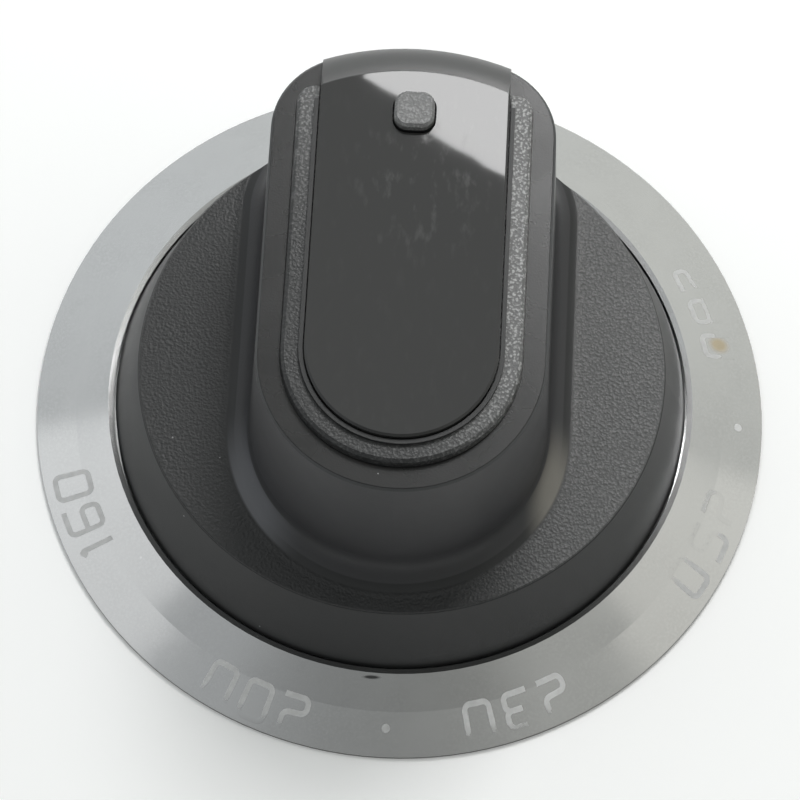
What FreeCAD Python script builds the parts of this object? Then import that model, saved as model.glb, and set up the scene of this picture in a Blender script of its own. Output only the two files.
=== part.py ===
"""Oven control knob: a stepped pointer grip on a round plinth, with a dial skirt, a glossy inlay
and a split boss for a D-shaped spindle.

The origin lies on the turning axis, level with the skirt's rim. +Z points out of the oven's panel
and +Y points to the pointer end of the grip. All lengths are millimetres, all angles degrees.
"""
import FreeCAD
import Part
import math
import os
import re

import Sketcher

SIZES = {
    # Dial skirt: two flat cones that meet in a crease and rise to a lip round the plinth.
    "rim_edge": 0.35,
    "rim_foot": 1.2,
    "outer_band": 3.0,
    "outer_rise": 1.35,
    "inner_band": 2.5,
    "inner_rise": 1.3,
    "lip_width": 0.4,
    "lip_drop": 0.12,
    "skirt_wall": 1.2,
    "collar_wall": 1.2,
    "collar_bottom": 0.3,
    "ledge_thickness": 0.9,
    "ledge_margin": 0.1,
    # Snap latches of the skirt and the windows they catch in.
    "latch_width": 5.0,
    "latch_thickness": 1.1,
    "latch_gap": 0.25,
    "latch_height": 3.5,
    "hook_reach": 0.6,
    "hook_height": 1.3,
    "window_clearance": 0.3,
    # Plinth: a short cylinder in the skirt, then a cone up to the textured floor.
    "plinth_radius": 19.5,
    "plinth_flare": 1.95,
    "plinth_rise": 6.15,
    "plinth_chamfer": 0.15,
    "plinth_wall": 2.0,
    "plinth_floor": 2.0,
    "seat_clearance": 0.15,
    "seat_drop": 0.25,
    # Grip: a block with a round front end, drafted walls and a filleted foot.
    "front_centre": 5.3,
    "shoulder_half": 10.24,
    "grip_rise": 13.85,
    "shoulder_chamfer": 0.18,
    "rear_ledge": 0.45,
    "rear_corner": 6.0,
    "wall_draft": 3.0,
    "foot_round": 2.3,
    "shell_wall": 2.2,
    # Textured rail on the shoulder, and the thin border that frames the inlay.
    "rail_half": 8.4,
    "rail_rise": 0.8,
    "rail_draft": 10.0,
    "rail_setback": 3.7,
    "rail_corner": 1.2,
    "rail_chamfer": 0.2,
    "border_width": 0.3,
    "border_rise": 0.3,
    # Glossy inlay, rolled down over the rear end of the grip.
    "plate_half": 6.8,
    "plate_proud": 0.4,
    "plate_thickness": 1.2,
    "plate_clearance": 0.1,
    "plate_chamfer": 0.15,
    "plate_overhang": 0.62,
    "roll_radius": 3.3,
    "roll_angle": 2.0,
    "peg_radius": 1.1,
    "peg_clearance": 0.05,
    "peg_inset": 0.2,
    "front_peg": 3.6,
    "rear_peg": 3.8,
    # Pointer nub, moulded with the grip and standing through the inlay.
    "nub_width": 2.85,
    "nub_length": 2.85,
    "nub_corner": 0.95,
    "nub_setback": 3.4,
    "nub_proud": 0.8,
    "nub_draft": 2.0,
    "nub_chamfer": 0.2,
    "nub_gap": 0.08,
    # Boss for the spindle, split and held by a spring ring.
    "boss_radius": 6.0,
    "boss_bottom": 0.6,
    "spindle_radius": 4.0,
    "spindle_flat": 2.5,
    "spindle_clearance": 0.05,
    "bore_depth": 15.0,
    "slit_width": 1.2,
    "slit_depth": 9.0,
    "ring_thickness": 0.8,
    "ring_width": 1.2,
    "ring_height": 1.8,
    "ring_groove": 0.5,
    "ring_clearance": 0.05,
    "ring_opening": 40.0,
    # Webs from the boss to the grip's walls, and ribs under the plinth's floor.
    "web_thickness": 1.4,
    "web_gap": 1.0,
    "rib_thickness": 1.2,
    "rib_depth": 3.0,
    "rib_angle": 30.0,
}

# How far a cutting or joining shape runs past the surface it meets.
OVERRUN = "1"
LATCH_COUNT = 4
RIB_SIDES = 2
TOLERANCE = 1e-4

# Radii, from the plinth's floor outwards to the skirt's rim, then the latches inside its wall.
FLOOR_RADIUS = "(plinth_radius - plinth_chamfer)"
SEAT_RADIUS = "(plinth_radius + plinth_flare)"
WALL_INNER = f"({SEAT_RADIUS} - plinth_wall)"
SKIRT_BORE = f"({SEAT_RADIUS} + seat_clearance)"
LIP_RADIUS = f"({SKIRT_BORE} + lip_width)"
CREASE_RADIUS = f"({LIP_RADIUS} + inner_band)"
RIM_RADIUS = f"({CREASE_RADIUS} + outer_band)"
LATCH_OUTER = f"({WALL_INNER} - latch_gap)"
LATCH_INNER = f"({LATCH_OUTER} - latch_thickness)"

# Heights, from the ledge up to the nub.
LEDGE_TOP = "(collar_bottom + ledge_thickness)"
LATCH_TOP = f"({LEDGE_TOP} + latch_height)"
HOOK_BASE = f"({LATCH_TOP} - hook_height)"
CREASE_HEIGHT = "(rim_edge + outer_rise)"
LIP_HEIGHT = f"({CREASE_HEIGHT} + inner_rise)"
SEAT_HEIGHT = f"({LIP_HEIGHT} - seat_drop)"
PLINTH_HEIGHT = f"({SEAT_HEIGHT} + plinth_rise)"
FLOOR_UNDER = f"({PLINTH_HEIGHT} - plinth_floor)"
SHOULDER_HEIGHT = f"({PLINTH_HEIGHT} + grip_rise)"
CEILING = f"({SHOULDER_HEIGHT} - shell_wall)"
RAIL_HEIGHT = f"({SHOULDER_HEIGHT} + rail_rise)"
BORDER_HEIGHT = f"({RAIL_HEIGHT} + border_rise)"
PLATE_TOP = f"({BORDER_HEIGHT} + plate_proud)"
RECESS_FLOOR = f"({PLATE_TOP} - plate_thickness)"
NUB_TOP = f"({PLATE_TOP} + nub_proud)"
WEB_BOTTOM = "(boss_bottom + slit_depth + web_gap)"

# Plan sizes of the grip: the walls' spread over their height, its rear end and what is set from it.
WALL_SPREAD = "(grip_rise * tan(wall_draft))"
REAR_RADIUS = f"({FLOOR_RADIUS} - rear_ledge)"
CAVITY_REAR = f"({FLOOR_RADIUS} - {WALL_SPREAD} - shell_wall)"
RAIL_END = f"({REAR_RADIUS} - rail_setback)"
RECESS_HALF = "(plate_half + plate_clearance)"
BORDER_HALF = f"({RECESS_HALF} + border_width)"
PLATE_END = f"({REAR_RADIUS} + plate_overhang)"
PLATE_REAR = f"({PLATE_END} - roll_radius * (1 - sin(roll_angle)))"
TONGUE_START = f"({RAIL_END} + rail_rise * tan(rail_draft) + plate_clearance)"
NUB_CENTRE = f"({PLATE_REAR} - nub_setback)"
PEG_PLACES = {
    "front": "-(front_centre + front_peg)",
    "rear": f"({NUB_CENTRE} - rear_peg)",
}

doc = FreeCAD.newDocument("oven_knob")
sheet = doc.addObject("Spreadsheet::Sheet", "sizes")
for row, (alias, size) in enumerate(SIZES.items(), start=1):
    sheet.set(f"A{row}", str(size))
    sheet.setAlias(f"A{row}", alias)
doc.recompute()


def in_sheet(formula):
    """The formula with each size named as a cell of the sheet."""
    return re.sub(r"[a-z_]+", lambda word: f"sizes.{word[0]}" if word[0] in SIZES else word[0], formula)


def value(formula):
    """The formula worked out as a number."""
    return float(sheet.evalExpression(in_sheet(formula)))


def new_body(label):
    """An empty body whose label names its file."""
    body = doc.addObject("PartDesign::Body", label)
    body.Label = label
    return body


def origin_feature(body, role):
    """One of the body's own origin planes or axes."""
    return next(feature for feature in body.Origin.OriginFeatures if feature.Role == role)


def sketch_on(body, name, role, height="0", turn="0"):
    """A sketch on one of the body's own origin planes, raised by height and turned about the axis."""
    sketch = body.newObject("Sketcher::SketchObject", name)
    sketch.AttachmentSupport = [(origin_feature(body, role), "")]
    sketch.MapMode = "FlatFace"
    if turn != "0":
        upright = FreeCAD.Vector(0, 1, 0)
        sketch.AttachmentOffset = FreeCAD.Placement(FreeCAD.Vector(), FreeCAD.Rotation(upright, value(turn)))
        sketch.setExpression("AttachmentOffset.Rotation.Angle", in_sheet(turn))
    sketch.setExpression("AttachmentOffset.Base.z", in_sheet(height))
    return sketch


def bind_datum(sketch, constraint, formula):
    """Add a dimension to a sketch and bind it to the sheet."""
    datum = sketch.addConstraint(constraint)
    sketch.setExpression(f"Constraints[{datum}]", in_sheet(formula))


def fix_point(sketch, geometry, end, x, y):
    """Tie one point of a side to the origin by two formulas."""
    for kind, axis, formula in (("DistanceX", -2, x), ("DistanceY", -1, y)):
        if formula == "0":
            sketch.addConstraint(Sketcher.Constraint("PointOnObject", geometry, end, axis))
        else:
            bind_datum(sketch, Sketcher.Constraint(kind, -1, 1, geometry, end, value(formula)), formula)


def arc_between(first, last, radius):
    """The short arc that turns left from first to last."""
    chord = last - first
    reach = math.sqrt(max(radius**2 - (chord.Length / 2) ** 2, 0))
    left = FreeCAD.Vector(-chord.y, chord.x, 0).normalize()
    centre = (first + last) * 0.5 + left * reach
    start = math.atan2(first.y - centre.y, first.x - centre.x)
    stop = math.atan2(last.y - centre.y, last.x - centre.x)
    return Part.ArcOfCircle(Part.Circle(centre, FreeCAD.Vector(0, 0, 1), radius), start, stop)


def outline(sketch, points, arcs=None, hollows=None):
    """Draw a closed outline, anticlockwise, through points given as pairs of formulas.

    A side is straight unless arcs or hollows gives the formula of its radius: a side in arcs
    bulges outwards, and one in hollows bulges inwards.
    """
    arcs = arcs or {}
    hollows = hollows or {}
    spots = [FreeCAD.Vector(value(x), value(y), 0) for x, y in points]
    for side, first in enumerate(spots):
        last = spots[(side + 1) % len(spots)]
        if side in arcs:
            sketch.addGeometry(arc_between(first, last, value(arcs[side])), False)
        elif side in hollows:
            sketch.addGeometry(arc_between(last, first, value(hollows[side])), False)
        else:
            sketch.addGeometry(Part.LineSegment(first, last), False)
    starts = [2 if side in hollows else 1 for side in range(len(points))]
    for side, (x, y) in enumerate(points):
        after = (side + 1) % len(points)
        sketch.addConstraint(Sketcher.Constraint("Coincident", side, 3 - starts[side], after, starts[after]))
        fix_point(sketch, side, starts[side], x, y)
    for side, radius in (arcs | hollows).items():
        bind_datum(sketch, Sketcher.Constraint("Radius", side, value(radius)), radius)


def disc(sketch, x, y, radius):
    """Draw a circle."""
    centre = FreeCAD.Vector(value(x), value(y), 0)
    ring = sketch.addGeometry(Part.Circle(centre, FreeCAD.Vector(0, 0, 1), value(radius)), False)
    fix_point(sketch, ring, 3, x, y)
    bind_datum(sketch, Sketcher.Constraint("Radius", ring, value(radius)), radius)


def rectangle(sketch, left, low, right, high):
    """Draw a rectangle from its four sides."""
    outline(sketch, [(left, low), (right, low), (right, high), (left, high)])


def grip_outline(sketch, half, rear_points, rear_arcs):
    """Draw an outline with a half round front and straight sides.

    rear_points run from the right side to the left one; rear_arcs numbers their sides from the right side.
    """
    sides = [(half, "-front_centre"), *rear_points, (f"-{half}", "-front_centre")]
    nose = ("0", f"-(front_centre + {half})")
    left_quarter = len(sides) - 1
    outline(sketch, [*sides, nose], {**rear_arcs, left_quarter: half, left_quarter + 1: half})


def square_ended(sketch, half, rear):
    """Grip outline with a straight rear and square corners."""
    grip_outline(sketch, half, [(half, rear), (f"-{half}", rear)], {})


def round_ended(sketch, half, rear, corner):
    """Grip outline with a straight rear and round corners."""
    turn_x = f"({half} - {corner})"
    turn_y = f"({rear} - {corner})"
    points = [(half, turn_y), (turn_x, rear), (f"-{turn_x}", rear), (f"-{half}", turn_y)]
    grip_outline(sketch, half, points, {1: corner, 3: corner})


def arc_ended(sketch, half, rear):
    """Grip outline with a rear arc about the turning axis and sharp corners."""
    corner_y = f"sqrt({rear}^2 - {half}^2)"
    grip_outline(sketch, half, [(half, corner_y), (f"-{half}", corner_y)], {1: rear})


def soft_ended(sketch, half, rear, corner):
    """Grip outline with a rear arc about the turning axis and round corners."""
    turn_x = f"({half} - {corner})"
    turn_y = f"sqrt(({rear} - {corner})^2 - {turn_x}^2)"
    stretch = f"{rear} / ({rear} - {corner})"
    points = [
        (half, turn_y),
        (f"{turn_x} * {stretch}", f"{turn_y} * {stretch}"),
        (f"-{turn_x} * {stretch}", f"{turn_y} * {stretch}"),
        (f"-{half}", turn_y),
    ]
    grip_outline(sketch, half, points, {1: corner, 2: rear, 3: corner})


def rounded_rectangle(sketch, half_x, half_y, centre_y, corner):
    """Draw a rectangle with round corners, centred on the grip's line."""
    low = f"{centre_y} - {half_y}"
    high = f"{centre_y} + {half_y}"
    inner_x = f"({half_x} - {corner})"
    points = [
        (half_x, f"{low} + {corner}"),
        (half_x, f"{high} - {corner}"),
        (inner_x, high),
        (f"-{inner_x}", high),
        (f"-{half_x}", f"{high} - {corner}"),
        (f"-{half_x}", f"{low} + {corner}"),
        (f"-{inner_x}", low),
        (inner_x, low),
    ]
    outline(sketch, points, {1: corner, 3: corner, 5: corner, 7: corner})


def settle(feature, kind):
    """Recompute a feature and make sure that a cut took something away."""
    doc.recompute()
    if kind in ("Pocket", "Groove") and feature.Shape.Volume > feature.BaseFeature.Shape.Volume - TOLERANCE:
        raise RuntimeError(f"{feature.Name} cut nothing")
    return feature


def extrude(body, kind, name, sketch, length, reverse=False, draft=None, even=False):
    """Pad or pocket a sketch by a length; draft widens it along its way."""
    feature = body.newObject(f"PartDesign::{kind}", name)
    feature.Profile = sketch
    feature.setExpression("Length", in_sheet(length))
    feature.Reversed = reverse
    if even:
        feature.SideType = "Symmetric"
    if draft:
        feature.setExpression("TaperAngle", in_sheet(draft))
    return settle(feature, kind)


def revolve(body, kind, name, sketch, angle="360"):
    """Turn a sketch about the knob's axis, to add or to cut."""
    feature = body.newObject(f"PartDesign::{kind}", name)
    feature.Profile = sketch
    feature.ReferenceAxis = (sketch, ["V_Axis"])
    feature.setExpression("Angle", in_sheet(angle))
    return settle(feature, kind)


def level_edges(feature, height, keep=lambda edge: True):
    """Names of the edges that lie level at a height and that keep accepts."""
    level = value(height)
    names = []
    for number, edge in enumerate(feature.Shape.Edges, start=1):
        box = edge.BoundBox
        if abs(box.ZMin - level) < TOLERANCE and abs(box.ZMax - level) < TOLERANCE and keep(edge):
            names.append(f"Edge{number}")
    return names


def within(radius):
    """A test for edges whose ends all lie nearer to the axis than a radius."""
    limit = value(radius)
    return lambda edge: all(math.hypot(end.X, end.Y) < limit for end in edge.Vertexes)


def fillet(body, name, base, edges, radius):
    """Round the named edges of a feature."""
    feature = body.newObject("PartDesign::Fillet", name)
    feature.Base = (base, edges)
    feature.setExpression("Radius", in_sheet(radius))
    doc.recompute()
    return feature


def chamfer(body, name, base, edges, width):
    """Bevel the named edges of a feature."""
    feature = body.newObject("PartDesign::Chamfer", name)
    feature.Base = (base, edges)
    feature.setExpression("Size", in_sheet(width))
    doc.recompute()
    return feature


def ring_pattern(body, name, originals, count):
    """Repeat features evenly round the turning axis."""
    pattern = body.newObject("PartDesign::PolarPattern", name)
    pattern.Originals = originals
    pattern.Axis = (origin_feature(body, "Z_Axis"), [""])
    pattern.Angle = 360
    pattern.Occurrences = count
    body.Tip = pattern
    doc.recompute()


def build_grip_form(body):
    """Outer form: plinth, drafted grip with a filleted foot, rail, border and pointer nub."""
    # The floor is first made as wide as the skirt, so that the foot's fillet has room all round.
    floor = sketch_on(body, "floor_section", "XZ_Plane")
    rectangle(floor, "0", LEDGE_TOP, RIM_RADIUS, PLINTH_HEIGHT)
    revolve(body, "Revolution", "floor_disc", floor)
    walls_outline = sketch_on(body, "walls_outline", "XY_Plane", SHOULDER_HEIGHT)
    soft_ended(walls_outline, "shoulder_half", REAR_RADIUS, "rear_corner")
    walls = extrude(body, "Pad", "walls", walls_outline, f"grip_rise + {OVERRUN}",
                    reverse=True, draft="wall_draft")
    brow = chamfer(body, "shoulder_edge", walls, level_edges(walls, SHOULDER_HEIGHT), "shoulder_chamfer")
    foot = level_edges(brow, PLINTH_HEIGHT, within("plinth_radius + foot_round"))
    fillet(body, "foot_fillet", brow, foot, "foot_round")
    # Then the floor is turned down to the plinth, and the grip's rear wall is turned flush with it.
    side = sketch_on(body, "plinth_side_section", "XZ_Plane")
    beyond = f"{RIM_RADIUS} + {OVERRUN}"
    below = f"{LEDGE_TOP} - {OVERRUN}"
    above = f"{SHOULDER_HEIGHT} + {OVERRUN}"
    outline(side, [
        (SEAT_RADIUS, below),
        (beyond, below),
        (beyond, above),
        (FLOOR_RADIUS, above),
        (FLOOR_RADIUS, PLINTH_HEIGHT),
        ("plinth_radius", f"{PLINTH_HEIGHT} - plinth_chamfer"),
        (SEAT_RADIUS, SEAT_HEIGHT),
    ])
    revolve(body, "Groove", "plinth_side", side)
    rail_outline = sketch_on(body, "rail_outline", "XY_Plane", RAIL_HEIGHT)
    round_ended(rail_outline, "rail_half", RAIL_END, "rail_corner")
    rail = extrude(body, "Pad", "rail", rail_outline, "rail_rise + shell_wall / 2",
                   reverse=True, draft="rail_draft")
    chamfer(body, "rail_edge", rail, level_edges(rail, RAIL_HEIGHT), "rail_chamfer")
    border_outline = sketch_on(body, "border_outline", "XY_Plane", BORDER_HEIGHT)
    square_ended(border_outline, BORDER_HALF, f"({RAIL_END} - rail_corner)")
    extrude(body, "Pad", "border", border_outline, "border_rise + rail_rise / 2",
            reverse=True, draft="wall_draft")
    recess_outline = sketch_on(body, "recess_outline", "XY_Plane", PLATE_TOP)
    square_ended(recess_outline, RECESS_HALF, REAR_RADIUS)
    extrude(body, "Pocket", "recess", recess_outline, "plate_thickness")
    nub_outline = sketch_on(body, "nub_outline", "XY_Plane", NUB_TOP)
    rounded_rectangle(nub_outline, "nub_width / 2", "nub_length / 2", NUB_CENTRE, "nub_corner")
    nub = extrude(body, "Pad", "nub", nub_outline, "nub_proud + plate_thickness",
                  reverse=True, draft="nub_draft")
    chamfer(body, "nub_edge", nub, level_edges(nub, NUB_TOP), "nub_chamfer")


def build_shell(body):
    """Hollow the plinth and the grip from below, to an even wall."""
    hollow = sketch_on(body, "hollow_section", "XZ_Plane")
    below = f"{LEDGE_TOP} - {OVERRUN}"
    outline(hollow, [
        ("0", below),
        (WALL_INNER, below),
        (WALL_INNER, HOOK_BASE),
        ("plinth_radius - plinth_wall", FLOOR_UNDER),
        ("0", FLOOR_UNDER),
    ])
    revolve(body, "Groove", "hollow", hollow)
    cavity = sketch_on(body, "cavity_outline", "XY_Plane", CEILING)
    soft_ended(cavity, "(shoulder_half - shell_wall)", CAVITY_REAR, "(rear_corner - shell_wall / 2)")
    extrude(body, "Pocket", "cavity", cavity, f"{CEILING} - {FLOOR_UNDER} + plinth_floor / 2",
            draft="wall_draft")


def build_boss(body):
    """Split boss with a D-shaped bore and a groove for the spring ring, held by two webs."""
    boss_outline = sketch_on(body, "boss_outline", "XY_Plane", CEILING)
    disc(boss_outline, "0", "0", "boss_radius")
    extrude(body, "Pad", "boss", boss_outline, f"{CEILING} - boss_bottom", reverse=True)
    web = sketch_on(body, "web_section", "XZ_Plane")
    reach = "(shoulder_half - shell_wall / 2)"
    low_reach = f"({reach} + ({CEILING} - {WEB_BOTTOM}) * tan(wall_draft))"
    outline(web, [
        (f"-{low_reach}", WEB_BOTTOM),
        (low_reach, WEB_BOTTOM),
        (reach, CEILING),
        (f"-{reach}", CEILING),
    ])
    extrude(body, "Pad", "webs", web, "web_thickness", even=True)
    bore = sketch_on(body, "bore_outline", "XY_Plane", "boss_bottom")
    radius = "(spindle_radius + spindle_clearance)"
    flat = "(spindle_flat + spindle_clearance)"
    half_flat = f"sqrt({radius}^2 - {flat}^2)"
    outline(bore, [(f"-{half_flat}", f"-{flat}"), (half_flat, f"-{flat}"), ("0", radius)],
            {1: radius, 2: radius})
    extrude(body, "Pocket", "spindle_bore", bore, "bore_depth", reverse=True)
    slit = sketch_on(body, "slit_outline", "XY_Plane", "boss_bottom")
    slit_reach = f"(boss_radius + {OVERRUN})"
    rectangle(slit, f"-{slit_reach}", "-slit_width / 2", slit_reach, "slit_width / 2")
    extrude(body, "Pocket", "slits", slit, "slit_depth", reverse=True)
    groove = sketch_on(body, "ring_groove_section", "XZ_Plane")
    half_groove = "(ring_width / 2 + ring_clearance)"
    rectangle(groove, "boss_radius - ring_groove", f"ring_height - {half_groove}",
              f"boss_radius + {OVERRUN}", f"ring_height + {half_groove}")
    revolve(body, "Groove", "ring_seat", groove)


def build_ribs(body):
    """Four short ribs under the plinth's floor, between the grip's foot and the plinth's wall."""
    start = f"((shoulder_half + {WALL_SPREAD}) / cos(rib_angle))"
    root = f"{PLINTH_HEIGHT} - plinth_floor / 2"
    ribs = []
    for name, turn in (("left_rib", "rib_angle"), ("right_rib", "-rib_angle")):
        rib = sketch_on(body, f"{name}_section", "XZ_Plane", turn=turn)
        outline(rib, [
            (start, f"{FLOOR_UNDER} - rib_depth"),
            (f"{SEAT_RADIUS} - plinth_wall / 2", f"{FLOOR_UNDER} - rib_depth"),
            ("plinth_radius - plinth_wall / 2", root),
            (start, root),
        ])
        ribs.append(extrude(body, "Pad", name, rib, "rib_thickness", even=True))
    ring_pattern(body, "ribs", ribs, RIB_SIDES)


def build_catches(body):
    """Windows in the plinth's wall for the skirt's hooks, and holes for the inlay's pegs."""
    window = sketch_on(body, "window_section", "XZ_Plane")
    rectangle(window, LATCH_INNER, f"{HOOK_BASE} - window_clearance",
              f"{LATCH_OUTER} + hook_reach + window_clearance", f"{LATCH_TOP} + window_clearance")
    catch = extrude(body, "Pocket", "window", window, "latch_width + 2 * window_clearance", even=True)
    ring_pattern(body, "windows", [catch], LATCH_COUNT)
    for end, place in PEG_PLACES.items():
        hole = sketch_on(body, f"{end}_peg_hole_outline", "XY_Plane", RECESS_FLOOR)
        disc(hole, "0", place, "(peg_radius + peg_clearance)")
        extrude(body, "Pocket", f"{end}_peg_hole", hole, f"{RECESS_FLOOR} - {CEILING}")


def build_knob_body():
    """Black moulding: plinth, grip and boss in one piece."""
    body = new_body("knob_body")
    build_grip_form(body)
    build_shell(body)
    build_boss(body)
    build_ribs(body)
    build_catches(body)
    return body


def build_dial_skirt():
    """Silver ring: two cones and a lip, a ledge under the plinth's wall, and four snap latches."""
    body = new_body("dial_skirt")
    section = sketch_on(body, "skirt_section", "XZ_Plane")
    collar_outer = f"({SKIRT_BORE} + collar_wall)"
    ledge_inner = f"({LATCH_INNER} - ledge_margin)"
    collar_under = f"({LIP_HEIGHT} - skirt_wall - (collar_wall - lip_width) * inner_rise / inner_band)"
    outline(section, [
        (ledge_inner, "collar_bottom"),
        (collar_outer, "collar_bottom"),
        (collar_outer, collar_under),
        (CREASE_RADIUS, f"{CREASE_HEIGHT} - skirt_wall"),
        (f"{RIM_RADIUS} - rim_foot", "0"),
        (RIM_RADIUS, "0"),
        (RIM_RADIUS, "rim_edge"),
        (CREASE_RADIUS, CREASE_HEIGHT),
        (LIP_RADIUS, LIP_HEIGHT),
        (SKIRT_BORE, f"{LIP_HEIGHT} - lip_drop"),
        (SKIRT_BORE, LEDGE_TOP),
        (ledge_inner, LEDGE_TOP),
    ])
    revolve(body, "Revolution", "skirt_ring", section)
    latch = sketch_on(body, "latch_section", "XZ_Plane")
    latch_root = f"{LEDGE_TOP} - ledge_thickness / 2"
    outline(latch, [
        (LATCH_INNER, latch_root),
        (LATCH_OUTER, latch_root),
        (LATCH_OUTER, HOOK_BASE),
        (f"{LATCH_OUTER} + hook_reach", HOOK_BASE),
        (LATCH_OUTER, LATCH_TOP),
        (LATCH_INNER, LATCH_TOP),
    ])
    arm = extrude(body, "Pad", "latch", latch, "latch_width", even=True)
    ring_pattern(body, "latches", [arm], LATCH_COUNT)
    return body


def build_grip_plate():
    """Glossy inlay: a plate with a rolled rear end, a hole for the nub and two locating pegs."""
    body = new_body("grip_plate")
    plate_outline = sketch_on(body, "plate_outline", "XY_Plane", RECESS_FLOOR)
    arc_ended(plate_outline, "plate_half", PLATE_END)
    extrude(body, "Pad", "plate", plate_outline, "plate_thickness")
    tongue = sketch_on(body, "tongue_outline", "XY_Plane", SHOULDER_HEIGHT)
    corner_y = f"sqrt({PLATE_END}^2 - plate_half^2)"
    outline(tongue, [
        ("plate_half", TONGUE_START),
        ("plate_half", corner_y),
        ("-plate_half", corner_y),
        ("-plate_half", TONGUE_START),
    ], {1: PLATE_END})
    tongue_height = f"{RECESS_FLOOR} - {SHOULDER_HEIGHT} + plate_thickness / 2"
    outer = extrude(body, "Pad", "tongue", tongue, tongue_height)
    edges = level_edges(outer, PLATE_TOP, lambda edge: edge.BoundBox.YMin < 0)
    chamfer(body, "plate_edge", outer, edges, "plate_chamfer")
    roll_section = sketch_on(body, "roll_section", "XZ_Plane")
    roll_end = f"{PLATE_TOP} - roll_radius * cos(roll_angle)"
    beyond = f"{PLATE_END} + {OVERRUN}"
    above = f"{PLATE_TOP} + {OVERRUN}"
    points = [(PLATE_END, roll_end), (beyond, roll_end), (beyond, above), (PLATE_REAR, above),
              (PLATE_REAR, PLATE_TOP)]
    roll_side = len(points) - 1
    outline(roll_section, points, hollows={roll_side: "roll_radius"})
    revolve(body, "Groove", "rear_roll", roll_section)
    hole = sketch_on(body, "nub_hole_outline", "XY_Plane", PLATE_TOP)
    widening = "((nub_proud + plate_thickness) * tan(nub_draft) + nub_gap)"
    rounded_rectangle(hole, f"(nub_width / 2 + {widening})", f"(nub_length / 2 + {widening})", NUB_CENTRE,
                      f"(nub_corner + {widening})")
    extrude(body, "Pocket", "nub_hole", hole, "plate_thickness")
    for end, place in PEG_PLACES.items():
        peg = sketch_on(body, f"{end}_peg_outline", "XY_Plane", RECESS_FLOOR)
        disc(peg, "0", place, "peg_radius")
        extrude(body, "Pad", f"{end}_peg", peg, f"{RECESS_FLOOR} - {CEILING} - peg_inset", reverse=True)
    return body


def build_boss_ring():
    """Open ring of spring steel strip that clamps the split boss on the spindle."""
    body = new_body("boss_ring")
    strip = sketch_on(body, "strip_section", "XZ_Plane", turn="90 + ring_opening / 2")
    inner = "boss_radius - ring_groove"
    rectangle(strip, inner, "ring_height - ring_width / 2", f"{inner} + ring_thickness",
              "ring_height + ring_width / 2")
    revolve(body, "Revolution", "strip_ring", strip, "360 - ring_opening")
    return body


def check_and_write(bodies):
    """Refuse a failed object or an unsound shape, then write one file for each piece."""
    doc.recompute()
    failed = [item.Name for item in doc.Objects if {"Invalid", "Error"} & set(item.State)]
    if failed:
        raise RuntimeError(f"failed objects: {failed}")
    for body in bodies:
        shape = body.Shape
        if shape.isNull() or not shape.isValid() or len(shape.Solids) != 1:
            raise RuntimeError(f"{body.Label} is not one sound solid")
    os.makedirs("parts", exist_ok=True)
    for body in bodies:
        body.Placement = FreeCAD.Placement()
        body.Shape.exportStep(os.path.join("parts", f"{body.Label}.step"))
        print(body.Label, round(body.Shape.Volume, 1))


check_and_write([build_knob_body(), build_dial_skirt(), build_grip_plate(), build_boss_ring()])
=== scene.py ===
"""Looks of an oven control knob: finishes, worn dial figures, studio and camera round its solids."""

import logging
import math
from dataclasses import dataclass
from enum import Enum

import bmesh
import bpy
from mathutils import Matrix, Vector


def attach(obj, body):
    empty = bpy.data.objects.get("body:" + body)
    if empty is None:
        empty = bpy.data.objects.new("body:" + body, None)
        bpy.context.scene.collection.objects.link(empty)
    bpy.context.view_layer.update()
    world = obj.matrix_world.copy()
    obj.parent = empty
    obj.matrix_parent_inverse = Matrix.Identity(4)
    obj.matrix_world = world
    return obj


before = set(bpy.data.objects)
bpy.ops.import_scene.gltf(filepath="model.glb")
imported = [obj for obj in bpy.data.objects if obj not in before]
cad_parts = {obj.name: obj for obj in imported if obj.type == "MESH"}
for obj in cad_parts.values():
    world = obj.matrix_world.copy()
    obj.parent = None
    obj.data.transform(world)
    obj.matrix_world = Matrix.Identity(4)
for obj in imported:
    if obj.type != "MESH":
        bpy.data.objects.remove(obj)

LOG = logging.getLogger("oven_knob")
MM = 0.001
BODY = "root"
PRINT_WEAR = "print_wear"
KEY_SIDE = (0.184, 0.53, 0.828)
KEY_SPIN = -10.5
KEY_RADIANCE = 12.0
KEY_DISTANCE = 0.25

Socket = bpy.types.NodeSocket
Colour = tuple[float, float, float, float]
Triple = tuple[float, float, float]
Point = tuple[float, float]


def grey(level: float, warmth: float = 0.0) -> Colour:
    """Gives a linear grey.

    Args:
        level: Brightness, from 0 to 1.
        warmth: How much redder and less blue than neutral, as a share.

    Returns:
        Red, green, blue and alpha.
    """
    return (level * (1 + warmth), level, level * (1 - warmth), 1.0)


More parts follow.
